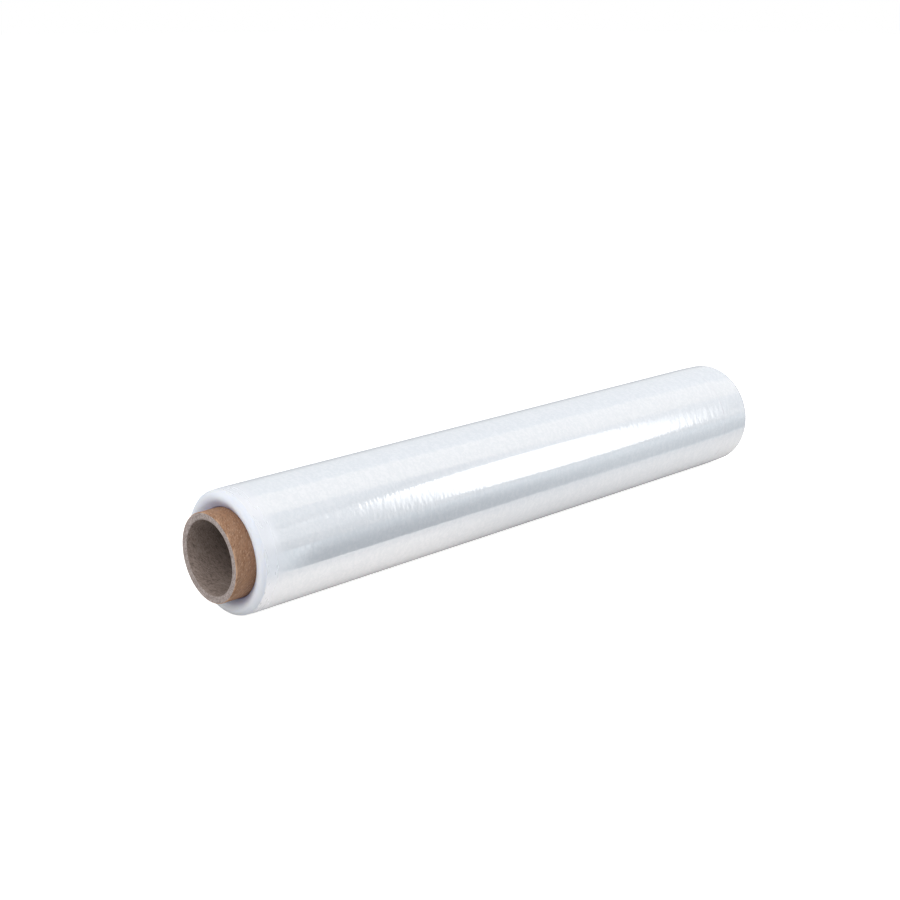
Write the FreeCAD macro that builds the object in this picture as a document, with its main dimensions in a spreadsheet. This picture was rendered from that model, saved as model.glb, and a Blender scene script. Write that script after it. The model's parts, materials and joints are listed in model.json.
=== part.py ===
import FreeCAD, Part
import Sketcher
import math
import os

# Hand roll of clear stretch film on a spiral-wound cardboard core, in millimetres.
#
# The roll lies on its side. Its axis runs along +X at the middle of the roll, +Z is up, and the
# origin is on the floor under the middle of the roll. The near end is the -X end. The film is
# slightly soft, so it rests on a narrow flat strip pressed into its underside.
#
# The ends of the wound film carry what shows of its turns. From the core outwards the turns stand
# further and further out, up to a crest, and then fall back over a rounded shoulder to a ring.
# Beyond the ring the edge zone of the film rises to the full radius. The turns drift a little as
# they are wound, so both the dished face and the shoulder are stepped into bands of turns.

# Driving dimensions. Each is one cell of the sheet, and every sketch and feature is bound to them.
SIZES = {
    "core_length": 526,  # cardboard core, end to end
    "core_bore": 50,  # inside diameter of the core
    "core_wall": 4.7,  # thickness of the core's wall
    "core_edge": 0.4,  # chamfer of the core's four cut edges
    "seam_pitch": 148,  # advance of the outer paper ply in one turn round the core
    "seam_lead": 78.7,  # distance before the core's near end at which the seam crosses the top
    "seam_gap": 0.9,  # gap between neighbouring turns of the outer ply, along the axis
    "seam_depth": 0.25,  # thickness of the outer ply, and so the depth of its seam
    "film_width": 504,  # wound film, from the crest at one end to the crest at the other
    "film_build": 11.8,  # thickness of all the turns together
    "flat_width": 12,  # width of the flat strip that the roll rests on
    "crest_inset": 4.05,  # depth of the crest below the film's edge ring
    "dish_depth": 4.2,  # how far the end face falls back from the crest to the core
    "shoulder_length": 3.5,  # length of the rounded shoulder, from the crest to the ring
    "shoulder_turn": 70,  # degrees that the shoulder turns through before the ring
    "near_edge_length": 9.5,  # length of the near edge zone, from its ring to the full radius
    "near_edge_drop": 0.3,  # how much smaller the radius is at the near ring
    "far_edge_length": 29,  # length of the far edge zone
    "far_edge_drop": 0.6,  # how much smaller the radius is at the far ring
    "face_bands": 5,  # bands of turns on each dished face
    "shoulder_bands": 3,  # bands of turns on each shoulder
    "band_round": 4,  # radius of the rounded crown of each band
}

doc = FreeCAD.newDocument("stretch_film_roll")
sizes = doc.addObject("Spreadsheet::Sheet", "sizes")
for row, (alias, value) in enumerate(SIZES.items(), start=1):
    sizes.set(f"A{row}", str(value))
    sizes.setAlias(f"A{row}", alias)
doc.recompute()

# Lengths that several features share, as formulas of the sheet.
CORE_RADIUS = "(sizes.core_bore / 2 + sizes.core_wall)"
FILM_RADIUS = f"({CORE_RADIUS} + sizes.film_build)"
AXIS_HEIGHT = f"sqrt({FILM_RADIUS} ^ 2 - (sizes.flat_width / 2) ^ 2)"

LINE = "line"
CROWN = "crown"


def origin_feature(body, role):
    """Finds the body's own plane or axis that has this role."""
    for feature in body.Origin.OriginFeatures:
        if feature.Role == role:
            return feature
    raise ValueError(f"{body.Label} has no {role}")


def new_sketch(body, name, plane):
    """Starts a sketch on one of the body's own origin planes."""
    sketch = body.newObject("Sketcher::SketchObject", name)
    sketch.AttachmentSupport = [(origin_feature(body, plane), "")]
    sketch.MapMode = "FlatFace"
    return sketch


def crown_arc(first, last, radius):
    """Arc from last back to first, bulging to the left of the way from first to last."""
    way = last - first
    inward = FreeCAD.Vector(way.y, -way.x, 0).normalize()
    centre = (first + last) / 2 + inward * math.sqrt(radius ** 2 - (way.Length / 2) ** 2)
    start = math.atan2(last.y - centre.y, last.x - centre.x)
    end = math.atan2(first.y - centre.y, first.x - centre.x)
    if end < start:
        end += 2 * math.pi
    circle = Part.Circle(centre, FreeCAD.Vector(0, 0, 1), radius)
    return Part.ArcOfCircle(circle, start, end)


def draw_outline(sketch, corners, sides):
    """Draws a closed outline clockwise through corners, each a pair of formulas.

    Side number i leaves corner number i. Every corner is bound to its formulas, and every
    crowned side to the band's radius.
    """
    points = [FreeCAD.Vector(sketch.evalExpression(x), sketch.evalExpression(y), 0) for x, y in corners]
    bound = []
    for index, kind in enumerate(sides):
        first = points[index]
        last = points[(index + 1) % len(points)]
        if kind == CROWN:
            radius = sketch.evalExpression("sizes.band_round")
            sketch.addGeometry(crown_arc(first, last, radius))
            number = sketch.addConstraint(Sketcher.Constraint("Radius", index, radius))
            bound.append((number, "sizes.band_round"))
        else:
            sketch.addGeometry(Part.LineSegment(first, last))
    for index, (x, y) in enumerate(corners):
        # A crowned side starts at its last corner, and a straight one at its first.
        leaves = 2 if sides[index] == CROWN else 1
        arrives = 1 if sides[index - 1] == CROWN else 2
        before = (index - 1) % len(corners)
        sketch.addConstraint(Sketcher.Constraint("Coincident", before, arrives, index, leaves))
        places = (("DistanceX", points[index].x, x), ("DistanceY", points[index].y, y))
        for direction, value, formula in places:
            number = sketch.addConstraint(Sketcher.Constraint(direction, -1, 1, index, leaves, value))
            bound.append((number, formula))
    for number, formula in bound:
        sketch.setExpression(f"Constraints[{number}]", formula)


def draw_circle(sketch, radius):
    """Draws a circle round the sketch's origin, with its radius bound to a formula."""
    value = sketch.evalExpression(radius)
    circle = Part.Circle(FreeCAD.Vector(0, 0, 0), FreeCAD.Vector(0, 0, 1), value)
    index = sketch.addGeometry(circle)
    sketch.addConstraint(Sketcher.Constraint("Coincident", index, 3, -1, 1))
    number = sketch.addConstraint(Sketcher.Constraint("Radius", index, value))
    sketch.setExpression(f"Constraints[{number}]", radius)


def must_cut(before, feature):
    """Recomputes, and stops if the feature took nothing away from the solid."""
    doc.recompute()
    if feature.Shape.Volume > before.Shape.Volume - 1:
        raise ValueError(f"{feature.Label} cuts nothing")


def new_body(label):
    """Starts a sub-part whose own axis lies at the height of the roll's axis."""
    body = doc.addObject("PartDesign::Body", label)
    body.Label = label
    body.setExpression("Placement.Base.z", AXIS_HEIGHT)
    doc.recompute()
    return body


def cardboard_core():
    """The paper tube: a plain wall with chamfered cut edges and the helical seam of its outer ply."""
    body = new_body("cardboard_core")

    section = new_sketch(body, "core_section", "YZ_Plane")
    draw_circle(section, CORE_RADIUS)
    draw_circle(section, "sizes.core_bore / 2")
    tube = body.newObject("PartDesign::Pad", "core_tube")
    tube.Profile = section
    tube.SideType = "Symmetric"
    tube.setExpression("Length", "sizes.core_length")
    doc.recompute()

    rims = []
    for index, edge in enumerate(tube.Shape.Edges, start=1):
        if abs(edge.BoundBox.XLength) < edge.BoundBox.YLength:
            rims.append(f"Edge{index}")
    softened = body.newObject("PartDesign::Chamfer", "core_cut_edges")
    softened.Base = (tube, rims)
    softened.setExpression("Size", "min(sizes.core_edge; sizes.core_wall / 3)")
    must_cut(tube, softened)

    # The seam is a shallow channel. It starts before the near end and runs out past the far one.
    # Its section stands a ply's thickness proud of the surface, so that it cuts cleanly.
    start = "-sizes.core_length / 2 - sizes.seam_lead"
    bottom = f"{CORE_RADIUS} - sizes.seam_depth"
    top = f"{CORE_RADIUS} + sizes.seam_depth"
    section = new_sketch(body, "seam_section", "XZ_Plane")
    left = f"{start} - sizes.seam_gap / 2"
    right = f"{start} + sizes.seam_gap / 2"
    draw_outline(section, [(left, bottom), (left, top), (right, top), (right, bottom)], [LINE] * 4)
    seam = body.newObject("PartDesign::SubtractiveHelix", "ply_seam")
    seam.Profile = section
    seam.ReferenceAxis = (origin_feature(body, "X_Axis"), [""])
    seam.Mode = "pitch-height-angle"
    seam.LeftHanded = True
    seam.setExpression("Pitch", "sizes.seam_pitch")
    seam.setExpression("Height", "sizes.core_length + 2 * sizes.seam_lead")
    must_cut(softened, seam)
    body.Tip = seam
    return body


def end_corners(crest, inward, drop):
    """Corners of one end of the wound film, from the core out over the crest to the ring.

    crest is where the crest lies along the axis, inward the sign that leads into the film from
    there, and drop how much smaller the radius is at the ring.
    """
    face_bands = int(sizes.face_bands)
    shoulder_bands = int(sizes.shoulder_bands)
    crest_radius = f"({FILM_RADIUS} - {drop} - sizes.crest_inset)"
    corners = []
    for band in range(face_bands):
        share = f"{band} / {face_bands}"
        corners.append((
            f"{crest} {inward} sizes.dish_depth * (1 - {share})",
            f"{CORE_RADIUS} + ({crest_radius} - {CORE_RADIUS}) * {share}",
        ))
    for band in range(shoulder_bands + 1):
        angle = f"sizes.shoulder_turn * {band} / {shoulder_bands}"
        corners.append((
            f"{crest} {inward} sizes.shoulder_length * (1 - cos({angle})) / (1 - cos(sizes.shoulder_turn))",
            f"{crest_radius} + sizes.crest_inset * sin({angle}) / sin(sizes.shoulder_turn)",
        ))
    return corners


def stretch_film():
    """The wound film, all its turns in one solid: turned round the axis, then pressed flat below."""
    body = new_body("stretch_film")

    near_crest = "-sizes.film_width / 2"
    far_crest = "sizes.film_width / 2"
    near = end_corners(near_crest, "+", "sizes.near_edge_drop")
    far = end_corners(far_crest, "-", "sizes.far_edge_drop")
    near_full = (f"{near_crest} + sizes.shoulder_length + sizes.near_edge_length", FILM_RADIUS)
    far_full = (f"{far_crest} - sizes.shoulder_length - sizes.far_edge_length", FILM_RADIUS)
    corners = near + [near_full, far_full] + far[::-1]
    crowns = [CROWN] * (len(near) - 1)
    sides = crowns + [LINE] * 3 + crowns + [LINE]

    profile = new_sketch(body, "film_profile", "XZ_Plane")
    draw_outline(profile, corners, sides)
    wound = body.newObject("PartDesign::Revolution", "wound_turns")
    wound.Profile = profile
    wound.ReferenceAxis = (origin_feature(body, "X_Axis"), [""])
    wound.Angle = 360
    doc.recompute()

    # The strip takes away what lies below the floor, a little wider than the film on all sides.
    section = new_sketch(body, "rest_section", "YZ_Plane")
    floor = f"-{AXIS_HEIGHT}"
    below = f"-{FILM_RADIUS} - sizes.flat_width"
    side = f"-{FILM_RADIUS}"
    strip = [(side, below), (side, floor), (FILM_RADIUS, floor), (FILM_RADIUS, below)]
    draw_outline(section, strip, [LINE] * 4)
    pressed = body.newObject("PartDesign::Pocket", "rest_strip")
    pressed.Profile = section
    pressed.SideType = "Symmetric"
    pressed.setExpression("Length", "2 * sizes.film_width")
    must_cut(wound, pressed)
    body.Tip = pressed
    return body


def check(parts):
    """Stops if any object of the document failed, or any sub-part isn't one valid solid."""
    doc.recompute()
    for thing in doc.Objects:
        if "Invalid" in thing.State or "Error" in thing.State:
            raise ValueError(f"{thing.Label} failed: {thing.State}")
    for part in parts:
        if part.Shape.isNull() or not part.Shape.isValid() or len(part.Shape.Solids) != 1:
            raise ValueError(f"{part.Label} isn't one valid solid")


parts = [cardboard_core(), stretch_film()]
check(parts)
os.makedirs("parts", exist_ok=True)
for part in parts:
    part.Shape.exportStep(f"parts/{part.Label}.step")
    box = part.Shape.BoundBox
    print(f"{part.Label}: volume {part.Shape.Volume:.0f} mm3, faces {len(part.Shape.Faces)}, "
          f"x {box.XMin:.2f} to {box.XMax:.2f}, y {box.YMin:.2f} to {box.YMax:.2f}, "
          f"z {box.ZMin:.2f} to {box.ZMax:.2f}")
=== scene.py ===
"""Looks of a hand roll of clear stretch film on a spiral-wound cardboard core.

Lengths are in metres, in the row frame: the roll's axis runs along +X, the near end is the -X end,
+Z is up and the floor is at z = 0. An azimuth is the angle round the axis, in degrees, from the top
of the roll towards the side that the camera sees (-Y).
"""

import json
import logging
import math
from dataclasses import dataclass, field, replace
from enum import Enum

import bpy
import numpy as np
from mathutils import Euler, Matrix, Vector

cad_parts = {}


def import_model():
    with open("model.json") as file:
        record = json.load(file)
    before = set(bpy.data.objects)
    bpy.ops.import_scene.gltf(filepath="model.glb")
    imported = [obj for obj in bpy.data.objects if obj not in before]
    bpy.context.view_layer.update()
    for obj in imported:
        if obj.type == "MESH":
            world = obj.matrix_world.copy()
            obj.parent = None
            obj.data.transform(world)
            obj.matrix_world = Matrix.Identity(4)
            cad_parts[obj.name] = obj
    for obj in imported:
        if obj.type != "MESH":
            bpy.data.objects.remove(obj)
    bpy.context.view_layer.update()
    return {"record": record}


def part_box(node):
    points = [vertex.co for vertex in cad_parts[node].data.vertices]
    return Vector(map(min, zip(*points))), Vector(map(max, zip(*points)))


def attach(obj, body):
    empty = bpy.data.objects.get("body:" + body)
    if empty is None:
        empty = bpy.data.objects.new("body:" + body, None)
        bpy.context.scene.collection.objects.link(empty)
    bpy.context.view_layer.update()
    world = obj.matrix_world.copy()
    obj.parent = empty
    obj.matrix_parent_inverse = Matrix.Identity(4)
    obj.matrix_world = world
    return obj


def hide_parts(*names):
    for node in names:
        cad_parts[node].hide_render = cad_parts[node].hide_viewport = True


MM = 0.001
log = logging.getLogger("stretch_film_roll")

Colour = tuple[float, float, float]
Place = tuple[float, float, float]
Socket = bpy.types.NodeSocket
Value = float | Socket

CORE_END = 0.263
CORE_RADIUS = 0.0297
BORE_RADIUS = 0.025
# The core's plies turn once in 148 mm. This is that turn in radians for each metre.
PLY_TWIST = 42.454


class End(Enum):
    """The two ends of the roll, by the sign of the axis that points out of each."""

    NEAR = -1
    FAR = 1


class Wiring:
    """Adds nodes to one node tree and joins them."""

    def __init__(self, tree: bpy.types.NodeTree) -> None:
        """Takes the tree that the nodes go into."""
        self.tree = tree

    def node(self, kind: str, inputs: dict | None = None, **settings) -> bpy.types.Node:
        """Adds a node.

        Args:
            kind: The node's type name.
            inputs: For each input, by name or number, a plain value or a socket to join.
            settings: Properties of the node itself.

        Returns:
            The new node.
        """
        made = self.tree.nodes.new(kind)
        for name, value in settings.items():
            setattr(made, name, value)
        self.fill(made, inputs or {})
        return made

    def fill(self, made: bpy.types.Node, inputs: dict) -> None:
        """Sets a node's inputs.

        Args:
            made: The node.
            inputs: For each input, by name or number, a plain value or a socket to join.
        """
        for name, value in inputs.items():
            if isinstance(value, Socket):
                self.tree.links.new(value, made.inputs[name])
            else:
                made.inputs[name].default_value = value

    def split(self, vector: Socket) -> bpy.types.bpy_prop_collection:
        """Splits a vector into the sockets X, Y and Z."""
        return self.node("ShaderNodeSeparateXYZ", {0: vector}).outputs

    def scaled(self, vector: Socket, factors: Place) -> Socket:
        """Multiplies a vector by three factors."""
        return self.node("ShaderNodeVectorMath", {0: vector, 1: factors}, operation="MULTIPLY").outputs[0]

    def bump(self, strength: Value, distance: float, height: Socket) -> Socket:
        """Turns a height into a normal, by how strong and how deep it is."""
        inputs = {"Strength": strength, "Distance": distance, "Height": height}
        return self.node("ShaderNodeBump", inputs).outputs[0]

    def facing(self) -> Socket:
        """Gives 0 where the surface faces the viewer and 1 where it is seen edge on."""
        return self.node("ShaderNodeLayerWeight", {"Blend": 0.5}).outputs["Facing"]

    def sum(
        self, operation: str, first: Value, second: Value = 0.0, third: Value = 0.0, clamp: bool = False
    ) -> Socket:
        """Works out one number from up to three others.

        Args:
            operation: The name of the operation, such as ADD or MULTIPLY.
            first: The first value or socket.
            second: The second value or socket.
            third: The third value or socket, for the few operations that have one.
            clamp: Whether the result is held between 0 and 1.

        Returns:
            The socket of the result.
        """
        inputs = {0: first, 1: second, 2: third}
        return self.node("ShaderNodeMath", inputs, operation=operation, use_clamp=clamp).outputs[0]

    def blend(self, share: Value, first: Colour | Socket, second: Colour | Socket) -> Socket:
        """Blends two colours.

        Args:
            share: How much of the second colour shows, as a value or a socket.
            first: The colour, or its socket, at a share of 0.
            second: The colour, or its socket, at a share of 1.

        Returns:
            The socket of the blended colour.
        """
        colours = {
            number: value if isinstance(value, Socket) else (*value, 1.0)
            for number, value in ((6, first), (7, second))
        }
        return self.node("ShaderNodeMix", {"Factor": share, **colours}, data_type="RGBA").outputs[2]

    def rise(self, value: Socket, low: float, high: float, start: float = 0.0, end: float = 1.0) -> Socket:
        """Turns a span of values into a smooth rise.

        Args:
            value: The socket to read.
            low: The value at which the rise starts.
            high: The value at which it ends.
            start: The result before the rise.
            end: The result after it.

        Returns:
            The socket of the result.
        """
        made = self.node(
            "ShaderNodeMapRange",
            {"Value": value, "From Min": low, "From Max": high, "To Min": start, "To Max": end},
            interpolation_type="SMOOTHSTEP",
        )
        return made.outputs[0]

    def noise(
        self,
        place: Socket,
        scale: float,
        detail: float = 2.0,
        roughness: float = 0.5,
        distortion: float = 0.0,
    ) -> Socket:
        """Adds a noise texture.

        Args:
            place: The socket of the place at which the noise is read.
            scale: Number of its largest lumps in a unit of length.
            detail: How many finer layers it has.
            roughness: How strong the finer layers are.
            distortion: How far the lumps are pulled out of shape.

        Returns:
            The socket of the noise, from 0 to 1.
        """
        inputs = {
            "Vector": place,
            "Scale": scale,
            "Detail": detail,
            "Roughness": roughness,
            "Distortion": distortion,
        }
        return self.node("ShaderNodeTexNoise", inputs).outputs["Fac"]

    def group(self, tree: bpy.types.NodeTree, inputs: dict) -> bpy.types.Node:
        """Places a node group with its own values.

        Args:
            tree: The group's tree.
            inputs: Values or sockets for its named inputs.

        Returns:
            The group's node.
        """
        made = self.tree.nodes.new("ShaderNodeGroup")
        made.node_tree = tree
        self.fill(made, inputs)
        return made


def new_group(
    name: str, inputs: dict[str, tuple[str, object]], outputs: tuple[str, ...]
) -> tuple[Wiring, bpy.types.Node, bpy.types.Node]:
    """Starts a shader node group.

    Args:
        name: The group's name.
        inputs: For each named input, its socket type and its value where none is given.
        outputs: The names of its outputs, which are numbers apart from one called Vector.

    Returns:
        The wiring of the new tree, its node of inputs and its node of outputs.
    """
    tree = bpy.data.node_groups.new(name, "ShaderNodeTree")
    for label, (kind, value) in inputs.items():
        socket = tree.interface.new_socket(label, in_out="INPUT", socket_type=kind)
        if value is not None:
            socket.default_value = value
    for label in outputs:
        kind = "NodeSocketVector" if label == "Vector" else "NodeSocketFloat"
        tree.interface.new_socket(label, in_out="OUTPUT", socket_type=kind)
    wiring = Wiring(tree)
    return wiring, wiring.node("NodeGroupInput"), wiring.node("NodeGroupOutput")


@dataclass(frozen=True)
class RollPlaces:
    """Node group: a point's place along the axis, its distance from it and a vector turned round it."""

    axis_height: float

    def build(self) -> bpy.types.NodeTree:
        """Builds the group.

        Returns:
            The group's tree. Its Twist input is the turn in radians for each metre along the axis,
            so that a grain drawn along the Vector output winds round the roll as a spiral.
        """
        w, given, result = new_group(
            "roll_places",
            {"Twist": ("NodeSocketFloat", 0.0)},
            ("Vector", "Along", "Radius"),
        )
        inputs = {0: w.node("ShaderNodeTexCoord").outputs["Object"], 1: (0, 0, self.axis_height)}
        centred = w.node("ShaderNodeVectorMath", inputs, operation="SUBTRACT").outputs[0]
        parts = w.split(centred)
        squares = w.sum("MULTIPLY_ADD", parts["Y"], parts["Y"], w.sum("MULTIPLY", parts["Z"], parts["Z"]))
        turn = w.sum("MULTIPLY", parts["X"], given.outputs["Twist"])
        inputs = {"Vector": centred, "Angle": turn}
        turned = w.node("ShaderNodeVectorRotate", inputs, rotation_type="X_AXIS").outputs[0]
        w.fill(result, {"Vector": turned, "Along": parts["X"], "Radius": w.sum("SQRT", squares)})
        return w.tree


@dataclass(frozen=True)
class ClingMarks:
    """Node group: the fine marks of film that clings to film."""

    lean: float = 0.28
    draw: float = 0.20

    def strokes(self, w: Wiring, place: Socket, lean: float, scale: float, detail: float) -> Socket:
        """Draws fine strokes that run round the roll, leaning to one side.

        Args:
            w: The wiring of the group.
            place: The socket of the place on the roll.
            lean: How far a stroke moves along the roll for each unit that it drops.
            scale: Number of strokes in a metre along the roll.
            detail: How many finer layers they have.

        Returns:
            The socket of the strokes, from 0 to 1.
        """
        parts = w.split(place)
        inputs = {
            0: w.sum("MULTIPLY_ADD", parts["Z"], lean, parts["X"]),
            1: w.sum("MULTIPLY", parts["Y"], self.draw),
            2: w.sum("MULTIPLY", parts["Z"], self.draw),
        }
        leaning = w.node("ShaderNodeCombineXYZ", inputs).outputs[0]
        return w.noise(leaning, scale=scale, detail=detail, roughness=0.55, distortion=0.4)

    def build(self) -> bpy.types.NodeTree:
        """Builds the group.

        Returns:
            The group's tree. It puts out crossed streaks, broader wrinkles, the crackle of air that is
            trapped between turns, slow clouds of them, and a height that holds the fine marks.
        """
        w, given, result = new_group(
            "cling_marks",
            {
                "Vector": ("NodeSocketVector", None),
                "Streak Strength": ("NodeSocketFloat", 1.0),
                "Crackle Strength": ("NodeSocketFloat", 1.0),
            },
            ("Streaks", "Wrinkles", "Crackle", "Clouds", "Height"),
        )
        place = given.outputs["Vector"]
        down = self.strokes(w, place, -self.lean, scale=420.0, detail=0.0)
        up = self.strokes(w, place, self.lean, scale=350.0, detail=0.0)
        streaks = w.sum("MULTIPLY_ADD", up, 0.5, w.sum("MULTIPLY", down, 0.5))
        wide_down = self.strokes(w, place, -self.lean * 2.5, scale=260.0, detail=3.0)
        wide_up = self.strokes(w, place, self.lean * 2.2, scale=210.0, detail=3.0)
        wrinkles = w.sum("MAXIMUM", w.rise(wide_down, 0.55, 0.72), w.rise(wide_up, 0.57, 0.74))
        crackle = w.noise(place, scale=430.0, detail=1.0, roughness=0.5, distortion=0.6)
        clouds = w.noise(place, scale=38.0, detail=3.0, roughness=0.55)
        crackled = w.sum("MULTIPLY", crackle, given.outputs["Crackle Strength"])
        marks = {
            "Streaks": streaks,
            "Wrinkles": wrinkles,
            "Crackle": crackle,
            "Clouds": clouds,
            "Height": w.sum("MULTIPLY_ADD", streaks, given.outputs["Streak Strength"], crackled),
        }
        w.fill(result, marks)
        return w.tree


@dataclass(frozen=True)
class PaperFibre:
    """Node group: the fibres and flecks of core board and kraft paper."""

    def build(self) -> bpy.types.NodeTree:
        """Builds the group.

        Returns:
            The group's tree. It puts out crossed fibres, flecks, patches and a height that holds
            the fibres and the patches.
        """
        w, given, result = new_group(
            "paper_fibre",
            {
                "Vector": ("NodeSocketVector", None),
                "Fineness": ("NodeSocketFloat", 1.0),
            },
            ("Fibres", "Flecks", "Patches", "Height"),
        )
        inputs = {0: given.outputs["Vector"], "Scale": given.outputs["Fineness"]}
        sized = w.node("ShaderNodeVectorMath", inputs, operation="SCALE").outputs[0]
        drawn = w.scaled(sized, (0.75, 1.0, 1.0))
        along = w.noise(drawn, scale=1150.0, detail=2.0, roughness=0.6, distortion=0.4)
        across = w.noise(w.scaled(sized, (1.0, 0.5, 0.5)), scale=1000.0, detail=2.0, roughness=0.6)
        fibres = w.sum("MULTIPLY_ADD", along, 0.62, w.sum("MULTIPLY", across, 0.38))
        flecks = w.rise(w.noise(sized, scale=900.0, detail=1.0, roughness=0.5), 0.58, 0.68)
        patches = w.noise(sized, scale=130.0, detail=3.0, roughness=0.6)
        height = w.sum("MULTIPLY_ADD", patches, 0.5, fibres)
        w.fill(result, {"Fibres": fibres, "Flecks": flecks, "Patches": patches, "Height": height})
        return w.tree


@dataclass(frozen=True)
class SharedEffects:
    """The node groups that more than one finish uses."""

    places: bpy.types.NodeTree
    cling: bpy.types.NodeTree
    fibre: bpy.types.NodeTree


def start_finish(name: str) -> tuple[bpy.types.Material, Wiring, bpy.types.Node]:
    """Starts a material that holds one plain surface shader.

    Args:
        name: The material's name.

    Returns:
        The material, the wiring of its tree and its surface shader.
    """
    material = bpy.data.materials.new(name)
    material.use_nodes = True
    tree = material.node_tree
    surface = tree.nodes["Principled BSDF"]
    return material, Wiring(tree), surface


@dataclass(frozen=True)
class WoundFilm:
    """Finish of the roll's side: glossy turns of clear film, milky in the mass, hazy by the near end, with a
    painted highlight line at the near ring, a painted shade line at the far ring and a painted dark outline
    where it is seen edge on.
    """

    clear: Colour = (0.690, 0.745, 0.815)
    milky: Colour = (0.748, 0.792, 0.857)
    hazy: Colour = (0.735, 0.775, 0.850)
    # Painted light: the near ring's line is a pale painted highlight and the far ring's line a darker painted
    # shade line.
    painted_ring_light_and_shade: dict[End, Colour] = field(
        default_factory=lambda: {End.NEAR: (0.970, 0.970, 1.000), End.FAR: (0.620, 0.620, 0.700)}
    )
    # Painted shade: the dark outline colour that the film's side takes where it is seen edge on.
    rim: Colour = (0.420, 0.480, 0.580)
    roughness: float = 0.036
    haze: float = 0.24
    haze_starts: float = -0.2310
    haze_ends: float = -0.2410
    density: float = 3.3
    bump: float = 1.0
    bump_depth: float = 0.00010
    rings: dict[End, float] = field(default_factory=lambda: {End.NEAR: -0.2482, End.FAR: 0.2195})
    ring_width: float = 0.0009

    def build(self, effects: SharedEffects) -> bpy.types.Material:
        """Makes the material.

        Args:
            effects: The shared node groups.

        Returns:
            The material.
        """
        material, w, surface = start_finish("wound_film")
        place = w.group(effects.places, {"Twist": 0.0}).outputs
        marks = w.group(
            effects.cling, {"Vector": place["Vector"], "Streak Strength": 1.0, "Crackle Strength": 0.2}
        ).outputs
        mottle = w.sum("MULTIPLY_ADD", marks["Crackle"], 0.65, w.sum("MULTIPLY", marks["Streaks"], 0.35))
        milk = w.sum("MAXIMUM", w.rise(mottle, 0.42, 0.62), w.sum("MULTIPLY", marks["Wrinkles"], 0.8))
        colour = w.blend(milk, self.clear, self.milky)
        wander = w.sum("MULTIPLY_ADD", marks["Clouds"], 0.001, w.sum("SUBTRACT", place["Along"], 0.0005))
        loose = w.rise(wander, self.haze_ends, self.haze_starts, 1.0, 0.0)
        colour = w.blend(loose, colour, self.hazy)
        # Paint the ring lines: a painted highlight at the near ring and a painted shade line at the far ring.
        for end in End:
            off = w.sum("ABSOLUTE", w.sum("SUBTRACT", place["Along"], self.rings[end]))
            line = w.rise(off, self.ring_width * 0.3, self.ring_width, 0.9, 0.0)
            broken = w.rise(marks["Wrinkles"], 0.05, 0.6, 0.25, 1.0)
            colour = w.blend(w.sum("MULTIPLY", line, broken), colour, self.painted_ring_light_and_shade[end])
        shine = w.rise(marks["Streaks"], 0.3, 0.75, self.roughness * 0.8, self.roughness * 1.5)
        shine = w.sum("MULTIPLY_ADD", loose, self.haze, shine)
        grazing = w.facing()
        # Painted shade: the side is blended to a dark outline colour where it is seen edge on.
        colour = w.blend(w.rise(grazing, 0.86, 0.98, 0.0, 0.8), colour, self.rim)
        strength = w.rise(grazing, 0.78, 0.94, self.bump, 0.0)
        look = {
            "Base Color": colour,
            "Roughness": shine,
            "Normal": w.bump(strength, self.bump_depth, marks["Height"]),
            "IOR": self.density,
        }
        w.fill(surface, look)
        return material


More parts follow.
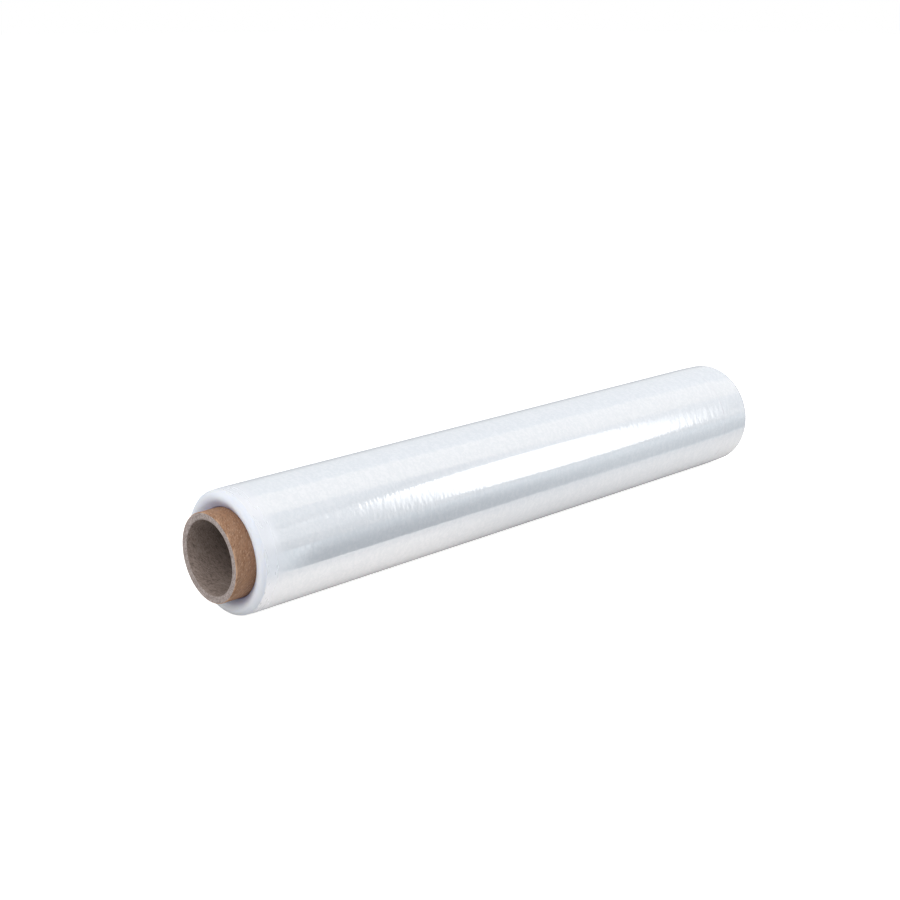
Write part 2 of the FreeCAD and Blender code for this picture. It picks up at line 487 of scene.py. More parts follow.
@dataclass(frozen=True)
class FilmEnds:
    """Finish of the wound film's ends: the cut edges of the turns, milky and softly shining, with painted
    shade towards the core, a painted shadow line in the groove at the core and a painted dark outline at the
    far end's silhouette.
    """

    pale: Colour = (0.815, 0.850, 0.920)
    # Painted shade: the bluish colour that the dish takes towards the core; the turn lines also draw on it.
    shade: Colour = (0.400, 0.470, 0.720)
    # Painted shadow: the dark violet line in the groove where the film meets the core.
    painted_groove_shadow: Colour = (0.260, 0.235, 0.400)
    # Painted shade: the dark outline colour of the far end's faces where they are seen edge on.
    rim: Colour = (0.090, 0.115, 0.170)
    roughness: float = 0.30
    density: float = 1.5
    core_radius: float = CORE_RADIUS
    glow: float = 0.85
    glow_depth: float = 0.006

    def build(self, effects: SharedEffects) -> bpy.types.Material:
        """Makes the material.

        Args:
            effects: The shared node groups.

        Returns:
            The material.
        """
        material, w, surface = start_finish("film_ends")
        place = w.group(effects.places, {"Twist": 0.0}).outputs
        marks = w.group(
            effects.cling, {"Vector": place["Vector"], "Streak Strength": 0.3, "Crackle Strength": 0.4}
        ).outputs
        inputs = {0: place["Radius"], 1: w.sum("MULTIPLY", place["Along"], 0.3)}
        turns = w.node("ShaderNodeCombineXYZ", inputs)
        lines = w.noise(turns.outputs[0], scale=5200.0, detail=2.0, roughness=0.6)
        # Painted shade: the dish is drawn darker and bluer towards the core, where the core shades it; the
        # turn lines add a little real tone.
        painted_core_shade = w.rise(place["Radius"], self.core_radius - 0.001, self.core_radius + 0.0075, 1.0, 0.0)
        turn_lines_and_painted_shade = w.sum("MULTIPLY_ADD", lines, 0.16, w.sum("MULTIPLY", painted_core_shade, 0.62), clamp=True)
        colour = w.blend(turn_lines_and_painted_shade, self.pale, self.shade)
        # Painted shadow: a thin dark violet line in the groove where the film meets the core.
        groove_shadow_mask = w.rise(place["Radius"], self.core_radius + 0.0003, self.core_radius + 0.0012, 0.9, 0.0)
        colour = w.blend(groove_shadow_mask, colour, self.painted_groove_shadow)
        grazing = w.facing()
        facing = w.split(w.node("ShaderNodeTexCoord").outputs["Normal"])
        # Painted shade: the far end's faces that are seen edge on are drawn dark, as an outline along the
        # silhouette.
        outline = w.sum("MULTIPLY", w.rise(grazing, 0.24, 0.62, 0.0, 0.95), w.rise(facing["X"], 0.05, 0.32))
        colour = w.blend(outline, colour, self.rim)
        height = w.sum("MULTIPLY_ADD", lines, 0.6, marks["Height"])
        look = {
            "Base Color": colour,
            "Roughness": w.rise(lines, 0.3, 0.7, self.roughness, self.roughness * 1.4),
            "Normal": w.bump(0.25, 0.0001, height),
            "IOR": self.density,
            "Subsurface Weight": self.glow,
            "Subsurface Radius": (1.0, 1.1, 1.3),
            "Subsurface Scale": self.glow_depth,
        }
        w.fill(surface, look)
        return material


@dataclass(frozen=True)
class KraftPly:
    """Finish of the core's outside: brown kraft paper, its grain along the ply, paler at the worn rim, with a
    painted shadow in the spiral seam and a painted highlight along its lips.
    """

    brown: Colour = (0.385, 0.208, 0.118)
    dark: Colour = (0.185, 0.096, 0.055)
    light: Colour = (0.520, 0.330, 0.215)
    rim: Colour = (0.560, 0.350, 0.225)
    # Painted shadow: the dark colour of the open seam.
    gap: Colour = (0.085, 0.045, 0.028)
    roughness: float = 0.62
    twist: float = PLY_TWIST
    seam_azimuth: float = -1.939
    seam_half: float = 0.0191
    core_end: float = CORE_END

    def build(self, effects: SharedEffects) -> bpy.types.Material:
        """Makes the material.

        Args:
            effects: The shared node groups.

        Returns:
            The material.
        """
        material, w, surface = start_finish("kraft_ply")
        place = w.group(effects.places, {"Twist": self.twist}).outputs
        paper = w.group(effects.fibre, {"Vector": place["Vector"], "Fineness": 1.0}).outputs
        grain = w.blend(w.rise(paper["Fibres"], 0.30, 0.58), self.dark, self.brown)
        grain = w.blend(w.rise(paper["Patches"], 0.35, 0.75, 0.0, 0.30), grain, self.light)
        grain = w.blend(w.sum("MULTIPLY", paper["Flecks"], 0.85), grain, self.light)
        to_end = w.sum("SUBTRACT", self.core_end, w.sum("ABSOLUTE", place["Along"]))
        ragged = w.sum("MULTIPLY_ADD", paper["Patches"], -0.0022, w.sum("ADD", to_end, 0.0002))
        at_rim = w.rise(ragged, -0.0006, 0.0004, 0.85, 0.0)
        worn = w.sum("MULTIPLY", at_rim, w.rise(paper["Patches"], 0.42, 0.58))
        colour = w.blend(worn, grain, self.rim)
        turned = w.split(place["Vector"])
        azimuth = w.sum("ARCTAN2", w.sum("MULTIPLY", turned["Y"], -1.0), turned["Z"])
        off_seam = w.sum("ABSOLUTE", w.sum("SUBTRACT", azimuth, self.seam_azimuth))
        # Painted light and shade at the seam: its lips are drawn lighter as a painted highlight and its open
        # middle dark as a painted shadow.
        lips = w.rise(off_seam, self.seam_half, self.seam_half * 2.2, 0.6, 0.0)
        painted_seam_shadow = w.rise(off_seam, self.seam_half * 0.9, self.seam_half * 1.1, 0.9, 0.0)
        colour = w.blend(painted_seam_shadow, w.blend(lips, colour, self.light), self.gap)
        look = {
            "Base Color": colour,
            "Roughness": w.rise(paper["Fibres"], 0.3, 0.7, self.roughness, self.roughness + 0.2),
            "Normal": w.bump(0.45, 0.00012, paper["Height"]),
            "Specular IOR Level": 0.35,
        }
        w.fill(surface, look)
        return material


@dataclass(frozen=True)
class CutBoard:
    """Finish of the core's cut ends: grey-brown plies in rings, roughened by the saw."""

    board: Colour = (0.330, 0.270, 0.250)
    glue: Colour = (0.165, 0.125, 0.110)
    fluff: Colour = (0.560, 0.490, 0.465)
    rust: Colour = (0.400, 0.240, 0.150)
    ply: float = 0.00047
    bore_radius: float = BORE_RADIUS
    outer_radius: float = CORE_RADIUS

    def build(self, effects: SharedEffects) -> bpy.types.Material:
        """Makes the material.

        Args:
            effects: The shared node groups.

        Returns:
            The material.
        """
        material, w, surface = start_finish("cut_board")
        place = w.group(effects.places, {"Twist": 0.0}).outputs
        paper = w.group(effects.fibre, {"Vector": place["Vector"], "Fineness": 0.9}).outputs
        wander = w.sum("MULTIPLY_ADD", paper["Patches"], 0.0003, place["Radius"])
        ply = w.sum("PINGPONG", w.sum("SUBTRACT", wander, self.bore_radius), self.ply / 2)
        joint = w.rise(ply, 0.0, self.ply * 0.22, 0.6, 0.0)
        colour = w.blend(w.rise(paper["Fibres"], 0.42, 0.60, 0.0, 0.85), self.board, self.fluff)
        colour = w.blend(joint, colour, self.glue)
        colour = w.blend(w.sum("MULTIPLY", paper["Flecks"], 0.8), colour, self.fluff)
        outside = w.rise(wander, self.outer_radius - 0.0004, self.outer_radius, 0.0, 0.9)
        colour = w.blend(outside, colour, self.rust)
        height = w.sum("MULTIPLY_ADD", joint, -0.8, paper["Height"])
        look = {
            "Base Color": colour,
            "Roughness": w.rise(paper["Fibres"], 0.3, 0.7, 0.85, 0.98),
            "Normal": w.bump(0.7, 0.0002, height),
            "Specular IOR Level": 0.2,
        }
        w.fill(surface, look)
        return material


@dataclass(frozen=True)
class BoreLiner:
    """Finish of the core's inside: grey chipboard with a crossed slanting grain, with painted shade that
    darkens it deeper in the bore.
    """

    board: Colour = (0.310, 0.245, 0.214)
    dark: Colour = (0.150, 0.114, 0.098)
    light: Colour = (0.430, 0.355, 0.315)
    # Painted shade: the dark colour of the bore deep inside, away from its open ends.
    deep: Colour = (0.075, 0.052, 0.044)
    roughness: float = 0.8
    twist: float = PLY_TWIST
    core_end: float = CORE_END

    def build(self, effects: SharedEffects) -> bpy.types.Material:
        """Makes the material.

        Args:
            effects: The shared node groups.

        Returns:
            The material.
        """
        material, w, surface = start_finish("bore_liner")
        place = w.group(effects.places, {"Twist": self.twist}).outputs
        paper = w.group(effects.fibre, {"Vector": place["Vector"], "Fineness": 0.95}).outputs
        colour = w.blend(w.rise(paper["Fibres"], 0.34, 0.60), self.dark, self.board)
        colour = w.blend(w.rise(paper["Patches"], 0.4, 0.8, 0.0, 0.5), colour, self.light)
        colour = w.blend(w.sum("MULTIPLY", paper["Flecks"], 0.45), colour, self.light)
        # Painted shade: the bore is drawn darker deeper in from its ends, where less light reaches.
        inside = w.sum("SUBTRACT", self.core_end, w.sum("ABSOLUTE", place["Along"]))
        colour = w.blend(w.rise(inside, 0.004, 0.050, 0.0, 0.80), colour, self.deep)
        look = {
            "Base Color": colour,
            "Roughness": w.rise(paper["Fibres"], 0.3, 0.7, self.roughness, self.roughness + 0.15),
            "Normal": w.bump(0.4, 0.00012, paper["Height"]),
            "Specular IOR Level": 0.25,
        }
        w.fill(surface, look)
        return material


@dataclass
class Section:
    """The points of a closed section in the plane of the axis, with the finish of the strip after each."""

    along: list[float] = field(default_factory=list)
    radius: list[float] = field(default_factory=list)
    finish: list[int] = field(default_factory=list)

    def add(self, along: float, radius: float, finish: int) -> None:
        """Adds one point and the number of the finish between it and the next."""
        self.along.append(along)
        self.radius.append(radius)
        self.finish.append(finish)

    def arrays(self) -> tuple[np.ndarray, np.ndarray, np.ndarray]:
        """Gives the three columns as arrays."""
        return np.array(self.along), np.array(self.radius), np.array(self.finish)


def turned_mesh(
    name: str,
    along: np.ndarray,
    radius: np.ndarray,
    azimuth: np.ndarray,
    finish: np.ndarray,
    axis_height: float,
) -> bpy.types.Object:
    """Makes a closed ring-shaped mesh from a grid of points.

    Args:
        name: The object's name.
        along: Place along the axis of each point, a row for each point of the section.
        radius: Distance from the axis of each point.
        azimuth: Azimuth of each point, in radians.
        finish: For each row, the number of the finish of the strip after it.
        axis_height: Height of the axis over the floor. No point goes below the floor.

    Returns:
        The new object, with smooth faces.
    """
    rows, columns = radius.shape
    points = np.empty((rows, columns, 3))
    points[..., 0] = along
    points[..., 1] = -radius * np.sin(azimuth)
    points[..., 2] = np.maximum(axis_height + radius * np.cos(azimuth), 0.0)
    row, column = np.meshgrid(np.arange(rows), np.arange(columns), indexing="ij")
    next_row, next_column = (row + 1) % rows, (column + 1) % columns
    corners = (row * columns + column, row * columns + next_column,
               next_row * columns + next_column, next_row * columns + column)
    faces = np.stack(corners, -1).reshape(-1, 4)
    mesh = bpy.data.meshes.new(name)
    mesh.from_pydata(points.reshape(-1, 3).tolist(), [], faces.tolist())
    mesh.polygons.foreach_set("use_smooth", [True] * len(faces))
    mesh.polygons.foreach_set("material_index", np.repeat(finish, columns).astype(np.int32))
    mesh.update()
    piece = bpy.data.objects.new(name, mesh)
    bpy.context.scene.collection.objects.link(piece)
    return piece


def waves(grid: np.ndarray, rows: np.ndarray, columns: np.ndarray, terms: int, seed: int) -> np.ndarray:
    """Adds up a few slow waves over a grid, so that a surface isn't a perfect turned one.

    Args:
        grid: An array whose shape the result takes.
        rows: Phase of each row for a wave of one period, in radians.
        columns: Azimuth of each column, in radians.
        terms: How many waves are added.
        seed: Seed of the waves' sizes and places.

    Returns:
        The sum, of about unit size.
    """
    draw = np.random.default_rng(seed)
    total = np.zeros_like(grid)
    for _ in range(terms):
        turns = draw.integers(0, 5)
        beats = draw.uniform(0.5, 6.0)
        total += draw.normal() * np.sin(beats * rows + turns * columns + draw.uniform(0, 2 * math.pi))
    return total / math.sqrt(terms)


@dataclass
class StretchFilm:
    """The wound film: all its turns, with dished and banded ends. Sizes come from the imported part."""

    low: Vector
    high: Vector
    core_radius: float
    radius: float
    axis_height: float
    crest_inset: float = 4.05 * MM
    dish_depth: float = 4.2 * MM
    shoulder_length: float = 3.5 * MM
    shoulder_turn: float = 70.0
    edge_length: dict[End, float] = field(default_factory=lambda: {End.NEAR: 9.5 * MM, End.FAR: 29.0 * MM})
    edge_drop: dict[End, float] = field(default_factory=lambda: {End.NEAR: 0.3 * MM, End.FAR: 0.6 * MM})
    face_bands: int = 5
    shoulder_bands: int = 3
    groove_width: float = 0.25 * MM
    groove_depth: float = 0.8 * MM
    crest_rounding: float = 0.45
    crown: float = 0.035 * MM
    ring_ridge: float = 0.015 * MM
    slack: float = 0.02 * MM
    columns: int = 600
    side_rows: int = 36
    steps: int = 5

    def end_points(self, end: End) -> tuple[list[float], list[float]]:
        """Works out one end's section, from the core out over the crest to its ring.

        Args:
            end: Which end.

        Returns:
            Depths inwards from the crest, and radii.
        """
        crest = self.radius - self.edge_drop[end] - self.crest_inset
        depths, radii = [], []
        steps = self.steps
        depths.append(self.dish_depth + self.groove_depth)
        radii.append(self.core_radius)
        foot = self.core_radius + self.groove_width
        flat = 1 - self.crest_rounding / 2
        for step in range(self.face_bands * steps):
            share = step / (self.face_bands * steps)
            swell = self.crown * math.sin(math.pi * (step % steps) / steps)
            past = max(share - (1 - self.crest_rounding), 0.0)
            fall = share - past**2 / (2 * self.crest_rounding)
            depths.append(self.dish_depth * (1 - fall / flat) - swell)
            radii.append(foot + (crest - foot) * share)
        top = math.radians(self.shoulder_turn)
        for step in range(self.shoulder_bands * steps + 1):
            angle = top * step / (self.shoulder_bands * steps)
            swell = self.crown * math.sin(math.pi * (step % steps) / steps)
            fall = self.shoulder_length * (1 - math.cos(angle)) / (1 - math.cos(top))
            depths.append(fall - swell * math.cos(angle))
            radii.append(crest + self.crest_inset * math.sin(angle) / math.sin(top) + swell * math.sin(angle))
        return depths, radii

    def section(self) -> Section:
        """Draws the closed section: near end, side, far end and the hole that the core fills."""
        side, ends = 0, 1
        section = Section()
        depths, radii = self.end_points(End.NEAR)
        for depth, radius in zip(depths, radii):
            section.add(self.low.x + depth, radius, ends)
        self.add_ring(section, End.NEAR, self.low.x)
        start = self.low.x + self.shoulder_length + self.edge_length[End.NEAR]
        stop = self.high.x - self.shoulder_length - self.edge_length[End.FAR]
        for along in np.linspace(start, stop, self.side_rows):
            section.add(float(along), self.radius, side)
        self.add_ring(section, End.FAR, self.high.x)
        depths, radii = self.end_points(End.FAR)
        for depth, radius in zip(depths[::-1], radii[::-1]):
            section.add(self.high.x - depth, radius, ends)
        section.finish[-1] = side
        return section

    def add_ring(self, section: Section, end: End, crest: float) -> None:
        """Adds the edge zone of one end, with the thin ridge that its ring leaves in the turns.

        Args:
            section: The section to add to.
            end: Which end.
            crest: Place of that end's crest along the axis.
        """
        side = 0
        ring = crest - end.value * self.shoulder_length
        length = self.edge_length[end]
        low = self.radius - self.edge_drop[end]
        shares = np.concatenate([np.linspace(0.02, 0.12, 6), np.linspace(0.2, 0.97, 14)])
        if end is End.FAR:
            shares = shares[::-1]
        for share in shares:
            ridge = self.ring_ridge * math.exp(-((share * length - 0.5 * MM) / (0.22 * MM)) ** 2)
            rise = self.edge_drop[end] * math.sin(math.pi / 2 * share)
            radius = min(low + rise + ridge, self.radius)
            section.add(ring - end.value * share * length, radius, side)

    def build(self, finishes: list[bpy.types.Material]) -> bpy.types.Object:
        """Builds and dresses the wound film.

        Args:
            finishes: The side's material and the ends' material.

        Returns:
            The piece.
        """
        along, radius, finish = self.section().arrays()
        base = np.linspace(0, 2 * math.pi, self.columns, endpoint=False)
        along_grid = np.repeat(along[:, None], self.columns, 1)
        radius_grid = np.repeat(radius[:, None], self.columns, 1)
        azimuth_grid = np.repeat(base[None, :], len(along), 0)
        phase = 2 * math.pi * (along_grid - self.low.x) / (self.high.x - self.low.x)
        outward = np.clip((radius_grid - self.core_radius) / (self.radius - self.core_radius), 0, 1)
        sag = 1 + np.tanh(waves(radius_grid, phase, azimuth_grid, 14, seed=7))
        radius_grid -= self.slack * outward * sag
        middle = (self.low.x + self.high.x) / 2
        inward = -np.sign(along_grid - middle)
        to_crest = self.length() / 2 - np.abs(along_grid - middle)
        on_end = np.clip((self.dish_depth + 3 * MM - to_crest) / (3 * MM), 0, 1)
        ripple = 1 + np.tanh(waves(along_grid, outward * 9, azimuth_grid, 12, seed=11))
        along_grid += inward * on_end * 2 * self.slack * ripple
        piece = turned_mesh(
            "stretch_film_wound", along_grid, radius_grid, azimuth_grid, finish, self.axis_height
        )
        for material in finishes:
            piece.data.materials.append(material)
        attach(piece, "root")
        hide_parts("stretch_film")
        return piece

    def length(self) -> float:
        """Gives the film's length from crest to crest."""
        return self.high.x - self.low.x


@dataclass
class CardboardCore:
    """The paper tube: kraft outside with a spiral seam, ringed cut ends and a chipboard bore."""

    low: Vector
    high: Vector
    bore_radius: float
    outer_radius: float
    axis_height: float
    edge: float = 0.4 * MM
    stub: float = 17.0 * MM
    seam_pitch: float = 148.0 * MM
    seam_lead: float = 78.7 * MM
    seam_gap: float = 0.9 * MM
    seam_depth: float = 0.25 * MM
    chip: float = 0.22 * MM
    plies: int = 10
    columns: int = 260

    def base_azimuths(self) -> np.ndarray:
        """Spreads the columns round the tube, close together at the two lips of the seam."""
        half = math.pi * self.seam_gap / self.seam_pitch
        lips = half * np.array([-2.2, -1.6, -1.25, -1.04, -0.92, -0.5, 0.0, 0.5, 0.92, 1.04, 1.25, 1.6, 2.2])
        rest = np.linspace(2.6 * half, 2 * math.pi - 2.6 * half, self.columns - len(lips))
        return np.concatenate([lips, rest])

    def section(self) -> Section:
        """Draws the closed section: outside, far cut end, bore and near cut end."""
        outside, cut, bore = 0, 1, 2
        section = Section()
        inner = np.linspace(self.low.x + self.stub, self.high.x - self.stub, 40)[1:-1]
        near = np.linspace(self.low.x + self.edge, self.low.x + self.stub, 34)
        far = np.linspace(self.high.x - self.stub, self.high.x - self.edge, 34)
        for along in np.concatenate([near, inner, far]):
            section.add(float(along), self.outer_radius, outside)
        rounding = np.linspace(0, math.pi / 2, 4)
        for turn in rounding[1:-1]:
            section.add(
                self.high.x - self.edge * (1 - math.sin(turn)),
                self.outer_radius - self.edge * (1 - math.cos(turn)),
                outside,
            )
        face = np.linspace(self.outer_radius - self.edge, self.bore_radius + self.edge, self.plies * 4)
        for radius in face:
            section.add(self.high.x, float(radius), cut)
        for turn in rounding[1:-1]:
            section.add(
                self.high.x - self.edge * (1 - math.cos(turn)),
                self.bore_radius + self.edge * (1 - math.sin(turn)),
                cut,
            )
        for along in np.linspace(self.high.x - self.edge, self.low.x + self.edge, 60):
            section.add(float(along), self.bore_radius, bore)
        section.finish[-1] = cut
        for turn in rounding[::-1][1:-1]:
            section.add(
                self.low.x + self.edge * (1 - math.cos(turn)),
                self.bore_radius + self.edge * (1 - math.sin(turn)),
                cut,
            )
        for radius in face[::-1]:
            section.add(self.low.x, float(radius), cut)
        section.finish[-1] = outside
        for turn in rounding[::-1][1:-1]:
            section.add(
                self.low.x + self.edge * (1 - math.sin(turn)),
                self.outer_radius - self.edge * (1 - math.cos(turn)),
                outside,
            )
        return section

    def build(self, finishes: list[bpy.types.Material]) -> bpy.types.Object:
        """Builds and dresses the core.

        Args:
            finishes: Materials of the outside, the cut ends and the bore.

        Returns:
            The piece.
        """
        along, radius, finish = self.section().arrays()
        base = self.base_azimuths()
        count = len(base)
        along_grid = np.repeat(along[:, None], count, 1)
        radius_grid = np.repeat(radius[:, None], count, 1)
        # Every column follows the seam, which crosses the top of the roll at seam_lead before the end.
        start = self.low.x - self.seam_lead
        azimuth_grid = base[None, :] - 2 * math.pi * (along_grid - start) / self.seam_pitch
        self.cut_seam(radius_grid, base)
        self.saw_ends(along_grid, radius_grid, azimuth_grid)
        piece = turned_mesh(
            "cardboard_core_tube", along_grid, radius_grid, azimuth_grid, finish, self.axis_height
        )
        for material in finishes:
            piece.data.materials.append(material)
        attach(piece, "root")
        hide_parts("cardboard_core")
        return piece

    def cut_seam(self, radius_grid: np.ndarray, base: np.ndarray) -> None:
        """Sinks the columns between the seam's lips by the thickness of the outer ply.

        Args:
            radius_grid: Distances from the axis, changed in place.
            base: Azimuth of each column from the seam's middle, in radians.
        """
        half = math.pi * self.seam_gap / self.seam_pitch
        off = np.abs((base + math.pi) % (2 * math.pi) - math.pi)
        sunk = np.clip((1.04 * half - off) / (0.12 * half), 0, 1)
        outer = np.clip((radius_grid - (self.outer_radius - 2 * self.edge)) / self.edge, 0, 1)
        radius_grid -= outer * sunk[None, :] * self.seam_depth

    def saw_ends(self, along_grid: np.ndarray, radius_grid: np.ndarray, azimuth_grid: np.ndarray) -> None:
        """Roughens the cut ends ply by ply, inwards from the plane of the saw.

        Args:
            along_grid: Places along the axis, changed in place.
            radius_grid: Distances from the axis.
            azimuth_grid: Azimuths, in radians.
        """
        draw = np.random.default_rng(23)
        middle = (self.low.x + self.high.x) / 2
        half_length = (self.high.x - self.low.x) / 2
        at_end = np.clip(1 - (half_length - np.abs(along_grid - middle)) / self.edge, 0, 1)
        inward = -np.sign(along_grid - middle)
        wall = self.outer_radius - self.bore_radius
        depth = np.zeros_like(along_grid)
        for end in End:
            here = np.sign(along_grid - middle) == end.value
            for ply in range(self.plies):
                low = self.bore_radius + wall * ply / self.plies
                high = low + wall / self.plies
                on_ply = here & (radius_grid >= low - 1e-6) & (radius_grid < high + 1e-6)
                level = draw.uniform(0, 0.10 * MM)
                ripple = np.abs(waves(along_grid, radius_grid * 0, azimuth_grid * 3, 9, seed=31 + ply))
                depth = np.where(on_ply, level + ripple * 0.05 * MM, depth)
        along_grid += inward * at_end * depth
        chips = draw.random(along_grid.shape) * self.chip * at_end
        radius_grid += np.where(radius_grid < self.bore_radius + 1.5 * self.edge, chips, 0.0)
        radius_grid -= np.where(radius_grid > self.outer_radius - 1.5 * self.edge, chips * 0.4, 0.0)


def aimed(place: Place, faces: Place, lean: float) -> Euler:
    """Works out how a lamp or a card is turned.

    Args:
        place: Where it hangs.
        faces: The point that it faces.
        lean: Its turn round that line, in degrees.

    Returns:
        The rotation.
    """
    way = Vector(faces) - Vector(place)
    turn = way.to_track_quat("-Z", "Y") @ Euler((0, 0, math.radians(lean))).to_quaternion()
    return turn.to_euler()


def start_glow(name: str) -> tuple[bpy.types.Material, Wiring]:
    """Starts a material of the stage.

    Args:
        name: The material's name.

    Returns:
        The material and the wiring of its tree, which holds no shader yet.
    """
    material, w, surface = start_finish(name)
    w.tree.nodes.remove(surface)
    return material, w


@dataclass(frozen=True)
class SoftLamp:
    """One soft studio lamp, by its place, what it faces and how bright its face is."""

    name: str
    place: Place
    faces: Place
    wide: float
    tall: float
    brightness: float
    lean: float = 0.0

    def build(self) -> bpy.types.Object:
        """Hangs the lamp.

        Returns:
            The lamp.
        """
        data = bpy.data.lights.new(self.name, "AREA")
        data.shape = "RECTANGLE"
        data.size = self.wide
        data.size_y = self.tall
        data.energy = self.brightness * self.wide * self.tall * math.pi
        lamp = bpy.data.objects.new(self.name, data)
        lamp.location = self.place
        lamp.rotation_euler = aimed(self.place, self.faces, self.lean)
        lamp.visible_camera = lamp.visible_glossy = False
        bpy.context.scene.collection.objects.link(lamp)
        return lamp


@dataclass(frozen=True)
class Fade:
    """A smooth change of a card's brightness along a direction in its own plane."""

    direction: Place
    low: float
    high: float
    start: float
    end: float

    def read(self, w: Wiring) -> Socket:
        """Reads the change at each point of the card.

        Args:
            w: The wiring of the card's material.

        Returns:
            The socket of the value there.
        """
        place = w.node("ShaderNodeTexCoord").outputs["Object"]
        along = w.node("ShaderNodeVectorMath", {0: place, 1: self.direction}, operation="DOT_PRODUCT")
        return w.rise(along.outputs["Value"], self.low, self.high, self.start, self.end)


@dataclass(frozen=True)
class GlossCard:
    """A studio card that shows only as a reflection in gloss, by its place, size, brightness and fades."""

    name: str
    place: Place
    faces: Place
    wide: float
    tall: float
    brightness: float
    lean: float = 0.0
    corners: int = 4
    fades: tuple[Fade, ...] = ()
    lifts: tuple[Fade, ...] = ()
    most: float = 3.0
    tint: Colour = (1.0, 1.0, 1.0)

    def outline(self) -> list[Place]:
        """Gives the card's corners: a rectangle's four, or as many as an ellipse is drawn with."""
        if self.corners == 4:
            signs = ((-1, -1), (1, -1), (1, 1), (-1, 1))
            return [(self.wide / 2 * across, self.tall / 2 * up, 0.0) for across, up in signs]
        turns = [2 * math.pi * corner / self.corners for corner in range(self.corners)]
        return [(self.wide / 2 * math.cos(turn), self.tall / 2 * math.sin(turn), 0.0) for turn in turns]

    def build(self) -> bpy.types.Object:
        """Sets up the card.

        Returns:
            The card.
        """
        mesh = bpy.data.meshes.new(self.name)
        mesh.from_pydata(self.outline(), [], [tuple(range(self.corners))])
        card = bpy.data.objects.new(self.name, mesh)
        card.location = self.place
        card.rotation_euler = aimed(self.place, self.faces, self.lean)
        bpy.context.scene.collection.objects.link(card)
        material, w = start_glow(self.name)
        level = self.brightness
        for fade in self.fades:
            level = w.sum("MULTIPLY", fade.read(w), level)
        for lift in self.lifts:
            level = w.sum("ADD", lift.read(w), level)
        level = w.sum("MINIMUM", level, self.most)
        glow = w.node("ShaderNodeEmission", {"Color": (*self.tint, 1.0), "Strength": level})
        w.tree.links.new(glow.outputs[0], w.tree.nodes["Material Output"].inputs["Surface"])
        mesh.materials.append(material)
        card.visible_camera = card.visible_diffuse = card.visible_transmission = card.visible_shadow = False
        return card


